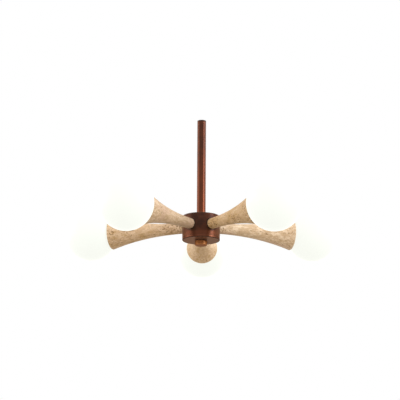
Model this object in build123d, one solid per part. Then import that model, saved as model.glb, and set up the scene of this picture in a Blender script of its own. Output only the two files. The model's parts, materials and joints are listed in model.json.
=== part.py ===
from build123d import *
import math
import os

# All sizes are in millimetres
# The origin is the mouth of the hanging thread at the top of the stem, and +Z points up
# The front of the chandelier faces -Y, and one arm points straight back along +Y

# Stem
stem_radius = 10.0
stem_wall = 1.5
stem_drop = 226.0
collar_height = 3.0
collar_plug_length = 12.0
foot_length = 12.0
stem_fit_gap = 0.05

# Fine lamp thread, drawn plain, shared by every hollow tube, nut and stud
lamp_thread_radius = 5.0
lamp_tube_bore_radius = 3.5
thread_gap = 0.05
hole_gap = 0.25
nut_flats = 14.0
nut_height = 4.0
washer_radius = 9.0
washer_thickness = 1.0
thread_overrun = 2.0
nipple_overrun = 3.0

# Hub drum
hub_radius = 42.5
hub_height = 56.0
hub_wall = 7.0
hub_roof = 5.0
hub_edge_round = 1.5
seam_chamfer = 0.35

# Base cover of the hub
cover_thickness = 5.5
spigot_height = 3.0
spigot_wall = 2.2
spigot_gap = 0.2

# Finial below the cover
finial_radius = 13.8
finial_height = 10.6
finial_thread_depth = 8.0
finial_chamfer = 1.4
finial_top_round = 0.35
finial_washer_radius = 12.0
finial_washer_thickness = 0.9

# Crossbar that carries the cover's stud
crossbar_lift = 9.5
crossbar_thickness = 3.0
crossbar_width = 12.0
crossbar_end_margin = 4.5
lug_height = 7.5
lug_width = 10.0
lug_inset = 8.5
bar_screw_radius = 2.0
bar_screw_head_radius = 4.0
bar_screw_head_height = 2.2
bar_screw_head_round = 0.7
bar_screw_depth = 6.0
bar_screw_hole_extra = 0.5
screw_slot_length = 6.4
screw_slot_width = 1.0
screw_slot_depth = 1.1
stud_shoulder_height = 3.0
stud_tip_gap = 0.5

# Terminal block at the middle of the hub
block_radius = 15.0
block_height = 14.0
block_thread_depth = 8.5
block_edge = 1.0
block_port_depth = 3.0
supply_port_depth = 2.0

# Wiring
supply_radius = 2.75
supply_top_gap = 10.0
core_radius = 1.0
core_spacing = 2.8
port_gap = 0.2
earth_core_radius = 0.9

# Earth point under the hub's roof
earth_angle = 54.0
earth_radius = 24.0
earth_screw_depth = 3.5
tag_radius = 4.0
tag_thickness = 0.8
barrel_length = 5.0
barrel_radius = 1.6
earth_wire_bend_inset = 6.0
earth_wire_drop = 5.0
earth_port_inset = 6.0
bend_share = 0.45

# Arms
arm_angles = {"back": 90.0, "left": 162.0, "front_left": 234.0, "front_right": 306.0, "right": 18.0}
arm_reach = 267.3
arm_rise = 3.3

# Stone horn
horn_root_radius = 12.2
horn_rim_radius = 37.0
horn_flare = 2.2
horn_outline_steps = 8
horn_bore_gap = 0.5
horn_rim_round = 1.0
horn_root_round = 0.6
pocket_depth = 3.0
pocket_gap = 0.4
pad_thickness = 1.5
pad_margin = 0.6
inner_flat_depth = 0.1
inner_flat_margin = 0.4

# Opal globe
globe_radius = 60.0
globe_wall = 2.5
globe_sink = 8.1
glass_gap = 0.8
neck_radius = 15.5
neck_wall = 2.5
neck_reach = 10.0
neck_recess_gap = 3.0
neck_thread_gap = 0.1
seal_thickness = 3.0
seal_margin = 1.5
seal_gap = 0.3

# Threaded carrier that holds the globe's neck
mouth_washer_radius = 15.0
mouth_washer_thickness = 1.5
flange_radius = 17.0
flange_thickness = 2.0
skirt_length = 12.5
skirt_wall = 1.5

# Lampholder and its capsule lamp
holder_radius = 9.0
holder_length = 25.0
holder_thread_depth = 8.5
holder_edge = 0.8
slot_width = 13.4
slot_height = 6.6
slot_depth = 7.0
slot_gap = 0.3
pin_spacing = 9.0
pin_radius = 0.5
pin_length = 5.0
pin_hole_gap = 0.3
pin_hole_depth = 6.0
bulb_radius = 8.0
bulb_length = 48.0
bulb_shoulder_gap = 0.3

# Heights that follow from the sizes above
stem_top = -collar_height
hub_top = -stem_drop
hub_bottom = hub_top - hub_height
arm_height = hub_top - hub_height / 2 + arm_rise
hub_bore = hub_radius - hub_wall
roof_underside = hub_top - hub_roof
cover_top = hub_bottom + cover_thickness
bar_bottom = hub_bottom + crossbar_lift
bar_top = bar_bottom + crossbar_thickness
bar_screw_place = hub_bore - lug_inset
nipple_bottom = roof_underside - washer_thickness - nut_height - nipple_overrun
block_bottom = arm_height - block_height / 2
block_top = arm_height + block_height / 2
finial_top = hub_bottom - finial_washer_thickness

# Places along an arm, measured from the hub's axis
seat_place = hub_radius - pocket_depth
horn_root = seat_place + pad_thickness
inner_flat = hub_bore + inner_flat_depth
arm_nut_end = inner_flat - washer_thickness - nut_height
horn_rim = arm_reach - globe_radius + globe_sink
neck_end = arm_reach - globe_radius - neck_reach
flange_top = neck_end - seal_thickness
mouth_floor = flange_top - flange_thickness - mouth_washer_thickness
holder_face = flange_top + holder_length
arm_tube_start = arm_nut_end - thread_overrun
arm_tube_end = flange_top + holder_thread_depth - thread_overrun
lead_end = flange_top + holder_thread_depth
skirt_radius = neck_radius - neck_wall - neck_thread_gap
recess_radius = neck_radius + neck_recess_gap
bulb_shoulder = holder_face + bulb_shoulder_gap


# Basic turned shapes, standing on the Z axis
def rod(radius, low, high):
    return Pos(0, 0, low) * Cylinder(radius, high - low, align=(Align.CENTER, Align.CENTER, Align.MIN))


def ring(outer, inner, low, high):
    return rod(outer, low, high) - rod(inner, low, high)


def hexagon(flats, hole, low, high):
    prism = extrude(RegularPolygon(flats / 2, 6, major_radius=False), high - low)
    return Pos(0, 0, low) * prism - rod(hole, low, high)


def block(width, depth, low, high):
    return Pos(0, 0, low) * Box(width, depth, high - low, align=(Align.CENTER, Align.CENTER, Align.MIN))


def end_edges(solid, end):
    return solid.edges().filter_by(GeomType.CIRCLE).group_by(Axis.Z)[end]


def outer_end_edge(solid, end):
    return end_edges(solid, end).sort_by(SortBy.RADIUS)[-1]


# An arm piece is drawn standing on the Z axis, with its height as the distance from the hub's axis
def on_arm(piece, angle):
    return Pos(0, 0, arm_height) * Rot(0, 0, angle) * Rot(0, 90, 0) * piece


def on_every_arm(piece):
    return Compound([on_arm(piece, angle) for angle in arm_angles.values()])


# Stem
def stem_tube():
    return ring(stem_radius, stem_radius - stem_wall, hub_top, stem_top)


def stem_top_collar():
    plug_radius = stem_radius - stem_wall - stem_fit_gap
    plug_bottom = stem_top - collar_plug_length
    collar = rod(stem_radius, stem_top, 0) + rod(plug_radius, plug_bottom, stem_top)
    return collar - rod(lamp_thread_radius + thread_gap, plug_bottom, 0)


def stem_foot_bushing():
    outer = stem_radius - stem_wall - stem_fit_gap
    return ring(outer, lamp_thread_radius + thread_gap, hub_top, hub_top + foot_length)


def hub_nipple():
    top = hub_top + foot_length - thread_overrun
    return ring(lamp_thread_radius, lamp_tube_bore_radius, nipple_bottom, top)


def nipple_washer():
    low = roof_underside - washer_thickness
    return ring(washer_radius, lamp_thread_radius + hole_gap, low, roof_underside)


def nipple_nut():
    high = roof_underside - washer_thickness
    return hexagon(nut_flats, lamp_thread_radius + thread_gap, high - nut_height, high)


# Hub drum, open below, with a pocket and a hole for each arm
def bar_lug():
    reach = hub_bore + hub_wall / 2
    inner = bar_screw_place - crossbar_end_margin
    lug = Pos((inner + reach) / 2, 0, 0) * block(reach - inner, lug_width, bar_top, bar_top + lug_height)
    hole = rod(bar_screw_radius + thread_gap, bar_top, bar_top + bar_screw_depth + bar_screw_hole_extra)
    return lug - Pos(bar_screw_place, 0, 0) * hole


def hub_arm_cut():
    pocket = rod(horn_root_radius + pocket_gap, seat_place, hub_radius + hub_wall)
    hole = rod(lamp_thread_radius + hole_gap, hub_bore - hub_wall, hub_radius)
    flat = rod(washer_radius + inner_flat_margin, hub_bore - hub_wall, inner_flat)
    return pocket + hole + flat


def earth_place():
    turn = math.radians(earth_angle)
    return Pos(earth_radius * math.cos(turn), earth_radius * math.sin(turn), 0)


def hub_body():
    drum = rod(hub_radius, cover_top, hub_top)
    drum = fillet(outer_end_edge(drum, -1), hub_edge_round)
    drum = chamfer(outer_end_edge(drum, 0), seam_chamfer)
    drum -= rod(hub_bore, cover_top, roof_underside)
    drum += bar_lug() + Rot(0, 0, 180) * bar_lug()
    drum -= rod(lamp_thread_radius + hole_gap, roof_underside, hub_top)
    earth_hole_top = roof_underside + earth_screw_depth + thread_gap
    earth_hole = rod(bar_screw_radius + thread_gap, roof_underside, earth_hole_top)
    drum -= earth_place() * earth_hole
    for angle in arm_angles.values():
        drum -= on_arm(hub_arm_cut(), angle)
    return drum


# Base cover, its stud and the finial that holds it up
def hub_base_cover():
    plate = rod(hub_radius, hub_bottom, cover_top)
    plate = fillet(outer_end_edge(plate, 0), hub_edge_round)
    plate = chamfer(outer_end_edge(plate, -1), seam_chamfer)
    spigot_radius = hub_bore - spigot_gap
    plate += ring(spigot_radius, spigot_radius - spigot_wall, cover_top, cover_top + spigot_height)
    return plate - rod(lamp_thread_radius + hole_gap, hub_bottom, cover_top)


def crossbar():
    length = 2 * (bar_screw_place + crossbar_end_margin)
    bar = block(length, crossbar_width, bar_bottom, bar_top)
    bar -= rod(lamp_thread_radius + hole_gap, bar_bottom, bar_top)
    for side in (-1, 1):
        bar -= Pos(side * bar_screw_place, 0, 0) * rod(bar_screw_radius + hole_gap, bar_bottom, bar_top)
    return bar


def crossbar_screws():
    head = rod(bar_screw_head_radius, bar_bottom - bar_screw_head_height, bar_bottom)
    head = fillet(outer_end_edge(head, 0), bar_screw_head_round)
    head_bottom = bar_bottom - bar_screw_head_height
    head -= block(screw_slot_length, screw_slot_width, head_bottom, head_bottom + screw_slot_depth)
    screw = head + rod(bar_screw_radius, bar_bottom, bar_top + bar_screw_depth)
    return Compound([Pos(side * bar_screw_place, 0, 0) * screw for side in (-1, 1)])


def cover_stud():
    tip = finial_top - finial_thread_depth + stud_tip_gap
    top = block_bottom + block_thread_depth - stud_tip_gap
    stud = rod(lamp_thread_radius, tip, top)
    return stud + hexagon(nut_flats, lamp_thread_radius, bar_bottom - stud_shoulder_height, bar_bottom)


def stud_locknut():
    return hexagon(nut_flats, lamp_thread_radius + thread_gap, bar_top, bar_top + nut_height)


def finial_washer():
    return ring(finial_washer_radius, lamp_thread_radius + hole_gap, finial_top, hub_bottom)


def finial():
    knob = rod(finial_radius, finial_top - finial_height, finial_top)
    knob = chamfer(outer_end_edge(knob, 0), finial_chamfer)
    knob = fillet(outer_end_edge(knob, -1), finial_top_round)
    return knob - rod(lamp_thread_radius + thread_gap, finial_top - finial_thread_depth, finial_top)


# Terminal block and wiring in the hub
def core_pair(low, high, radius):
    cores = [Pos(0, side * core_spacing / 2, 0) * rod(radius, low, high) for side in (-1, 1)]
    return Compound(cores)


def earth_port():
    turn = math.radians(earth_angle)
    reach = block_radius - earth_port_inset
    return Pos(reach * math.cos(turn), reach * math.sin(turn), 0)


def terminal_block():
    body = rod(block_radius, block_bottom, block_top)
    body = chamfer(end_edges(body, -1), block_edge)
    body = chamfer(outer_end_edge(body, 0), block_edge)
    body -= rod(lamp_thread_radius + thread_gap, block_bottom, block_bottom + block_thread_depth)
    body -= rod(supply_radius + port_gap, block_top - supply_port_depth, block_top)
    body -= earth_port() * rod(earth_core_radius + port_gap, block_top - supply_port_depth, block_top)
    for angle in arm_angles.values():
        ports = core_pair(block_radius - block_port_depth, block_radius + block_edge, core_radius + port_gap)
        body -= on_arm(ports, angle)
    return body


def supply_lead():
    top = stem_top - collar_plug_length - supply_top_gap
    return rod(supply_radius, block_top - supply_port_depth, top)


def arm_leads():
    cores = core_pair(block_radius - block_port_depth, lead_end, core_radius)
    return Compound([core for angle in arm_angles.values() for core in on_arm(cores, angle).solids()])


def earth_screw():
    head_top = roof_underside - tag_thickness
    head = rod(bar_screw_head_radius, head_top - bar_screw_head_height, head_top)
    head = fillet(outer_end_edge(head, 0), bar_screw_head_round)
    return earth_place() * (head + rod(bar_screw_radius, head_top, roof_underside + earth_screw_depth))


def barrel_axis_height():
    return roof_underside - barrel_radius


def earth_tag():
    low = roof_underside - tag_thickness
    barrel_start = earth_radius - tag_radius - barrel_length
    eye = Pos(earth_radius, 0, 0) * ring(tag_radius, bar_screw_radius + hole_gap, low, roof_underside)
    barrel = Pos(barrel_start, 0, barrel_axis_height()) * Rot(0, 90, 0) * rod(barrel_radius, 0, barrel_length)
    hole = Pos(barrel_start, 0, barrel_axis_height()) * Rot(0, 90, 0) * rod(
        earth_core_radius + thread_gap, 0, barrel_length / 2)
    neck = Pos(earth_radius - tag_radius, 0, 0) * block(tag_radius, tag_radius, low, roof_underside)
    neck -= Pos(earth_radius, 0, 0) * rod(bar_screw_radius + hole_gap, low, roof_underside)
    return Rot(0, 0, earth_angle) * (eye + neck + barrel - hole)


def earth_wire():
    start = earth_radius - tag_radius - barrel_length / 2
    end = block_radius - earth_port_inset
    height = barrel_axis_height()
    corners = [(start, height), (start - earth_wire_bend_inset, height), (end, block_top + earth_wire_drop),
               (end, block_top - supply_port_depth)]
    route = [Vector(across, 0, up) for across, up in corners]
    radii = []
    for before, corner, after in zip(route, route[1:], route[2:]):
        runs = (corner - before, after - corner)
        half_turn = math.radians(runs[0].get_angle(runs[1])) / 2
        radii.append(bend_share * min(runs[0].length, runs[1].length) / math.tan(half_turn))
    print("earth wire radii", [round(radius, 1) for radius in radii])
    path = FilletPolyline(*route, radius=radii)
    section = Plane(origin=route[0], z_dir=route[1] - route[0]) * Circle(earth_core_radius)
    return Rot(0, 0, earth_angle) * sweep(section, path)


# Arm hardware
def arm_tube():
    return ring(lamp_thread_radius, lamp_tube_bore_radius, arm_tube_start, arm_tube_end)


def arm_washer():
    return ring(washer_radius, lamp_thread_radius + hole_gap, inner_flat - washer_thickness, inner_flat)


def arm_nut():
    return hexagon(nut_flats, lamp_thread_radius + thread_gap, arm_nut_end, arm_nut_end + nut_height)


def horn_root_pad():
    return ring(horn_root_radius - pad_margin, lamp_thread_radius + hole_gap, seat_place, horn_root)


def mouth_washer():
    top = mouth_floor + mouth_washer_thickness
    return ring(mouth_washer_radius, lamp_thread_radius + hole_gap, mouth_floor, top)


# Stone horn, turned about its own axis, dished for the globe and recessed for the globe's neck
def horn_radius(share):
    return horn_root_radius + (horn_rim_radius - horn_root_radius) * share ** horn_flare


def horn():
    length = horn_rim - horn_root
    shares = [step / horn_outline_steps for step in range(horn_outline_steps + 1)]
    side = Spline([(horn_radius(share), horn_root + share * length) for share in shares])
    ends = Polyline((horn_rim_radius, horn_rim), (0, horn_rim), (0, horn_root), (horn_root_radius, horn_root))
    stone = revolve(Plane.XZ * make_face([side, ends]), Axis.Z)
    stone = fillet(outer_end_edge(stone, -1), horn_rim_round)
    stone = fillet(outer_end_edge(stone, 0), horn_root_round)
    stone -= Pos(0, 0, arm_reach) * Sphere(globe_radius + glass_gap)
    stone -= rod(recess_radius, mouth_floor, arm_reach)
    return stone - rod(lamp_thread_radius + horn_bore_gap, horn_root, arm_reach)


# Opal globe with its threaded neck
def globe():
    inner_neck = neck_radius - neck_wall
    shell = Pos(0, 0, arm_reach) * Sphere(globe_radius) + rod(neck_radius, neck_end, arm_reach)
    hollow = Pos(0, 0, arm_reach) * Sphere(globe_radius - globe_wall) + rod(inner_neck, neck_end, arm_reach)
    return shell - hollow


def globe_seal():
    return ring(neck_radius + seal_margin, skirt_radius + seal_gap, flange_top, neck_end)


def globe_carrier():
    flange_bottom = flange_top - flange_thickness
    cup = rod(flange_radius, flange_bottom, flange_top)
    cup += ring(skirt_radius, skirt_radius - skirt_wall, flange_top, flange_top + skirt_length)
    return cup - rod(lamp_thread_radius + hole_gap, flange_bottom, flange_top)


# Lampholder with a slot and two pin holes, screwed onto the end of the arm tube
def pin_pair(radius, low, high):
    return Compound([Pos(0, side * pin_spacing / 2, 0) * rod(radius, low, high) for side in (-1, 1)])


def lampholder():
    slot_floor = holder_face - slot_depth
    body = rod(holder_radius, flange_top, holder_face)
    body = chamfer(outer_end_edge(body, -1), holder_edge)
    body -= rod(lamp_thread_radius + thread_gap, flange_top, flange_top + holder_thread_depth)
    body -= block(slot_height, slot_width, slot_floor, holder_face)
    return body - pin_pair(pin_radius + pin_hole_gap, slot_floor - pin_hole_depth, slot_floor)


def bulb():
    base_end = holder_face - slot_depth + slot_gap
    dome_centre = bulb_shoulder + bulb_length - bulb_radius
    capsule = rod(bulb_radius, bulb_shoulder, dome_centre) + Pos(0, 0, dome_centre) * Sphere(bulb_radius)
    base = block(slot_height - 2 * slot_gap, slot_width - 2 * slot_gap, base_end, bulb_shoulder)
    pins = pin_pair(pin_radius, base_end - pin_length, base_end)
    return capsule + base + pins


# Every piece with the name of its file
pieces = {
    "stem_tube": stem_tube(),
    "stem_top_collar": stem_top_collar(),
    "stem_foot_bushing": stem_foot_bushing(),
    "hub_nipple": hub_nipple(),
    "nipple_washer": nipple_washer(),
    "nipple_nut": nipple_nut(),
    "hub_body": hub_body(),
    "hub_base_cover": hub_base_cover(),
    "crossbar": crossbar(),
    "crossbar_screws": crossbar_screws(),
    "cover_stud": cover_stud(),
    "stud_locknut": stud_locknut(),
    "finial_washer": finial_washer(),
    "finial": finial(),
    "terminal_block": terminal_block(),
    "supply_lead": supply_lead(),
    "arm_leads": arm_leads(),
    "earth_screw": earth_screw(),
    "earth_tag": earth_tag(),
    "earth_wire": earth_wire(),
    "arm_washers": on_every_arm(arm_washer()),
    "arm_nuts": on_every_arm(arm_nut()),
    "horn_root_pads": on_every_arm(horn_root_pad()),
    "mouth_washers": on_every_arm(mouth_washer()),
}

arm_pieces = {
    "horn": horn(),
    "arm_tube": arm_tube(),
    "globe_carrier": globe_carrier(),
    "lampholder": lampholder(),
    "globe_seal": globe_seal(),
    "globe": globe(),
    "bulb": bulb(),
}

for arm, angle in arm_angles.items():
    for name, piece in arm_pieces.items():
        pieces[f"{name}_{arm}"] = on_arm(piece, angle)

os.makedirs("parts", exist_ok=True)
for name, piece in pieces.items():
    export_step(piece, f"parts/{name}.step")
print(len(pieces), "pieces written")
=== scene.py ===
# A five-arm chandelier: stone horns with opal globes stand out round a bronzed hub on a straight stem
# Everything is in metres, in the frame's own axes, and the back arm points along +Y
import bmesh
import bpy
import json
import math
from mathutils import Matrix, Vector


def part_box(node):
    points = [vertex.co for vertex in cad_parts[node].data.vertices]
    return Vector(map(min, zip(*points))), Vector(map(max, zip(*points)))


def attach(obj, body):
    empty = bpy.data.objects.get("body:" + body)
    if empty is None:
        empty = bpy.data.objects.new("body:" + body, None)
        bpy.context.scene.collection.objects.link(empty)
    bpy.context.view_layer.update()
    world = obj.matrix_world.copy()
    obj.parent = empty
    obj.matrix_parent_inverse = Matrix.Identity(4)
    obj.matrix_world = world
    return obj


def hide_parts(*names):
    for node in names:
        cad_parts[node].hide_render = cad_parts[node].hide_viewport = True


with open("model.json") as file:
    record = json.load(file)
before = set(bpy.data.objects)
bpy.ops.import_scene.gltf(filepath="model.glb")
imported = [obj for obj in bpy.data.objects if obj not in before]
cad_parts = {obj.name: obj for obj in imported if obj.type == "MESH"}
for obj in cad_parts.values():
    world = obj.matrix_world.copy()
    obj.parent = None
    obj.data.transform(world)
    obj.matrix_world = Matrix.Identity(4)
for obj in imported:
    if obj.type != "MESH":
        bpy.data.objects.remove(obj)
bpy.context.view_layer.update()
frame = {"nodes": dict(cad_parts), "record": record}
mm = 0.001
print("frame loaded:", len(frame["nodes"]), "nodes")

# Places read from the frame
armAngles = {"back": 90, "left": 162, "front_left": 234, "front_right": 306, "right": 18}
stemBox, collarBox, hubBox, coverBox = (
    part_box(node) for node in ("stem_tube", "stem_top_collar", "hub_body", "hub_base_cover"))
finialBox, hornBox, globeBox, carrierBox = (
    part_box(node) for node in ("finial", "horn_back", "globe_back", "globe_carrier_back"))
armHeight = (globeBox[0].z + globeBox[1].z) / 2
hubTop, seamHeight, hubBottom = hubBox[1].z, hubBox[0].z, coverBox[0].z
hubRadius = hubBox[1].x


# Camera
photoView = {
    "pictureWidth": 400,
    "focalPixels": 1527.1,
    "sensorWidth": 36.0,
    "distance": 3.4595,
    "lookUp": 14.747,  # degrees
    "roll": 0.349,
    "turn": 0.670,
    "aim": (-0.0029, 0.0, 0.0665),  # from the middle of the hub
}


def makeCamera(view):
    lookUp, roll = math.radians(view["lookUp"]), math.radians(view["roll"])
    forward = Vector((0, math.cos(lookUp), math.sin(lookUp)))
    level, upright = Vector((1, 0, 0)), Vector((0, -math.sin(lookUp), math.cos(lookUp)))
    right = level * math.cos(roll) + upright * math.sin(roll)
    up = upright * math.cos(roll) - level * math.sin(roll)
    axes = Matrix((right, up, -forward)).transposed().to_4x4()
    axes.translation = Vector(view["aim"]) - forward * view["distance"]
    data = bpy.data.cameras.new("camera")
    data.sensor_width = view["sensorWidth"]
    data.lens = view["focalPixels"] * view["sensorWidth"] / view["pictureWidth"]
    data.clip_end = 100
    camera = bpy.data.objects.new("camera", data)
    bpy.context.scene.collection.objects.link(camera)
    hubMiddle = Matrix.Translation((0, 0, (hubTop + hubBottom) / 2))
    camera.matrix_world = hubMiddle @ Matrix.Rotation(math.radians(view["turn"]), 4, "Z") @ axes
    bpy.context.scene.camera = camera


makeCamera(photoView)


# Node helpers, for materials and for geometry
def feed(tree, socket, value):
    if isinstance(value, bpy.types.NodeSocket):
        tree.links.new(value, socket)
    else:
        socket.default_value = value


def addNode(tree, kind, inputs=None, **settings):
    made = tree.nodes.new(kind)
    for key, value in settings.items():
        setattr(made, key, value)
    for key, value in (inputs or {}).items():
        feed(tree, made.inputs[key], value)
    return made


def combine(tree, x=0, y=0, z=0):
    return addNode(tree, "ShaderNodeCombineXYZ", {0: x, 1: y, 2: z}).outputs[0]


def split(tree, vector):
    return addNode(tree, "ShaderNodeSeparateXYZ", {0: vector}).outputs


def calc(tree, operation, *values):
    return addNode(tree, "ShaderNodeMath", dict(enumerate(values)), operation=operation).outputs[0]


def spread(tree, value, low, high, newLow=0.0, newHigh=1.0):
    inputs = {"Value": value, "From Min": low, "From Max": high, "To Min": newLow, "To Max": newHigh}
    return addNode(tree, "ShaderNodeMapRange", inputs, interpolation_type="SMOOTHSTEP").outputs["Result"]


def spreadLinear(tree, value, low, high, newLow, newHigh):
    inputs = {"Value": value, "From Min": low, "From Max": high, "To Min": newLow, "To Max": newHigh}
    return addNode(tree, "ShaderNodeMapRange", inputs, clamp=False).outputs["Result"]


def noise(tree, place, scale, detail=2.0, roughness=0.5):
    inputs = {"Vector": place, "Scale": scale, "Detail": detail, "Roughness": roughness}
    return addNode(tree, "ShaderNodeTexNoise", inputs).outputs[0]


def blendColours(tree, share, first, second, how="MIX"):
    mix = addNode(tree, "ShaderNodeMix", {"Factor": share}, data_type="RGBA", blend_type=how)
    colours = [socket for socket in mix.inputs if socket.type == "RGBA"]
    for socket, value in zip(colours, (first, second)):
        feed(tree, socket, value)
    return next(socket for socket in mix.outputs if socket.type == "RGBA")


def addBump(tree, shader, height, distance, strength=0.5):
    bump = addNode(tree, "ShaderNodeBump", {"Height": height, "Distance": distance, "Strength": strength})
    feed(tree, shader.inputs["Normal"], bump.outputs[0])


def patternPlace(tree, turn=0.0, stretch=(1, 1, 1)):
    place = addNode(tree, "ShaderNodeTexCoord").outputs["Object"]
    turned = addNode(tree, "ShaderNodeMapping", {"Vector": place, "Rotation": (0, 0, turn)})
    return addNode(tree, "ShaderNodeMapping", {"Vector": turned.outputs[0], "Scale": stretch}).outputs[0]


def newMaterial(name):
    material = bpy.data.materials.new(name)
    material.use_nodes = True
    return material, material.node_tree, material.node_tree.nodes["Principled BSDF"]


def dress(tree, shader, looks):
    for name, value in looks.items():
        feed(tree, shader.inputs[name], value)


def rgb(*values):
    return (*values, 1.0)


def scaled(colour, factor):
    return rgb(*[value * factor for value in colour[:3]])


# Stone, with its own tints and beds in each horn
stone = {
    "pale": rgb(0.78, 0.585, 0.405),
    "tan": rgb(0.59, 0.400, 0.238),
    "golden": rgb(0.50, 0.315, 0.140),
    "pink": rgb(0.67, 0.455, 0.325),
    "brown": rgb(0.25, 0.135, 0.052),
    "bedScale": 30.0,
    "cloudScale": 72.0,
    "speckScale": 190.0,
    "grainScale": 620.0,
    "fleckScale": 330.0,
    "clusterScale": 48.0,
    "alongBeds": (0.45, 1.0, 1.15),  # drawn out along the arm
    "rootEnd": 0.048,  # each horn is darker towards its root, by its rootTint, fading out between these distances from the hub's axis
    "rootFades": 0.150,
    "paleFrom": 0.43,
    "paleTo": 0.58,
    "pinkSpan": 0.16,
    "pinkShare": 0.75,
    "goldenSpan": 0.11,
    "goldenShare": 0.85,
    "fleckSpan": 0.10,
    "clusterFrom": 0.46,
    "clusterTo": 0.60,
    "pitShare": 0.85,
    "grainDark": 0.84,
    "grainLight": 1.12,
    "roughness": 0.6,
    "gloss": 0.3,
    "bump": 0.35 * mm,
}
# each horn's paintedLightAndTone is partly painted light and shade, making the whole horn lighter or darker,
# and partly its own colour
hornLooks = {  # the levels are where each tint begins in its pattern
    "back": {
        "paintedLightAndTone": (1.12, 1.09, 1.04), "rootTint": 1.0, "goldenFrom": 0.50, "pinkFrom": 0.60,
        "flecksFrom": 0.66, "seed": 0.0},
    "left": {
        "paintedLightAndTone": (1.10, 1.08, 1.07), "rootTint": 0.95, "goldenFrom": 0.48, "pinkFrom": 0.58,
        "flecksFrom": 0.55, "seed": 1.7},
    "front_left": {
        "paintedLightAndTone": (0.90, 0.87, 0.83), "rootTint": 0.75, "goldenFrom": 0.56, "pinkFrom": 0.46,
        "flecksFrom": 0.62, "seed": 3.1},
    "front_right": {
        "paintedLightAndTone": (1.02, 0.98, 0.88), "rootTint": 1.0, "goldenFrom": 0.46, "pinkFrom": 0.56,
        "flecksFrom": 0.54, "seed": 4.6},
    "right": {
        "paintedLightAndTone": (1.10, 1.12, 1.14), "rootTint": 0.93, "goldenFrom": 0.57, "pinkFrom": 0.50,
        "flecksFrom": 0.58, "seed": 6.2},
}


def makeStone(name, turn, sizes, look):
    material, tree, shader = newMaterial(name)
    lined = patternPlace(tree, -turn)
    place = addNode(tree, "ShaderNodeVectorMath", {0: lined, 1: (look["seed"], 0, 0)}).outputs[0]
    beds = addNode(tree, "ShaderNodeMapping", {"Vector": place, "Scale": sizes["alongBeds"]}).outputs[0]
    bed = noise(tree, beds, sizes["bedScale"], 3, 0.55)
    cloud = noise(tree, beds, sizes["cloudScale"], 4, 0.6)
    speck = noise(tree, beds, sizes["speckScale"], 3, 0.62)
    grain = noise(tree, place, sizes["grainScale"], 3, 0.6)
    tone = calc(tree, "MULTIPLY_ADD", speck, 0.62, calc(tree, "MULTIPLY", cloud, 0.38))
    pale = spread(tree, tone, sizes["paleFrom"], sizes["paleTo"])
    colour = blendColours(tree, pale, sizes["tan"], sizes["pale"])
    pink = spread(tree, bed, look["pinkFrom"], look["pinkFrom"] + sizes["pinkSpan"], 0, sizes["pinkShare"])
    colour = blendColours(tree, pink, colour, sizes["pink"])
    honey = calc(tree, "MULTIPLY_ADD", speck, 0.35, calc(tree, "MULTIPLY", cloud, 0.65))
    goldenTo = look["goldenFrom"] + sizes["goldenSpan"]
    golden = spread(tree, honey, look["goldenFrom"], goldenTo, 0, sizes["goldenShare"])
    colour = blendColours(tree, golden, colour, sizes["golden"])
    # brown flecks in clusters, and brown inside the pits
    apart = addNode(tree, "ShaderNodeMapping", {"Vector": beds, "Location": (3, 5, 7)}).outputs[0]
    flecks = noise(tree, apart, sizes["fleckScale"], 2, 0.5)
    cluster = noise(tree, apart, sizes["clusterScale"], 2)
    cluster = spread(tree, cluster, sizes["clusterFrom"], sizes["clusterTo"])
    flecks = spread(tree, flecks, look["flecksFrom"], look["flecksFrom"] + sizes["fleckSpan"])
    colour = blendColours(tree, calc(tree, "MULTIPLY", flecks, cluster), colour, sizes["brown"])
    pit = addNode(tree, "ShaderNodeAttribute", attribute_name="pit").outputs["Fac"]
    colour = blendColours(tree, calc(tree, "MULTIPLY", pit, sizes["pitShare"]), colour, sizes["brown"])
    # the horn's tint, partly painted light and shade over the whole horn and partly its own colour; darker
    # towards its root; and a fine grain
    along = split(tree, lined)[0]
    root = spread(tree, along, sizes["rootEnd"], sizes["rootFades"], look["rootTint"], 1.0)
    fine = spreadLinear(tree, grain, 0.3, 0.7, sizes["grainDark"], sizes["grainLight"])
    level = calc(tree, "MULTIPLY", fine, root)
    shade = combine(tree, *[calc(tree, "MULTIPLY", level, share) for share in look["paintedLightAndTone"]])
    colour = blendColours(tree, 1.0, colour, shade, "MULTIPLY")
    dress(tree, shader, {
        "Base Color": colour, "Roughness": sizes["roughness"], "Specular IOR Level": sizes["gloss"]})
    relief = calc(tree, "MULTIPLY_ADD", grain, 0.4, calc(tree, "MULTIPLY", speck, 0.6))
    addBump(tree, shader, relief, sizes["bump"])
    return material


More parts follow.
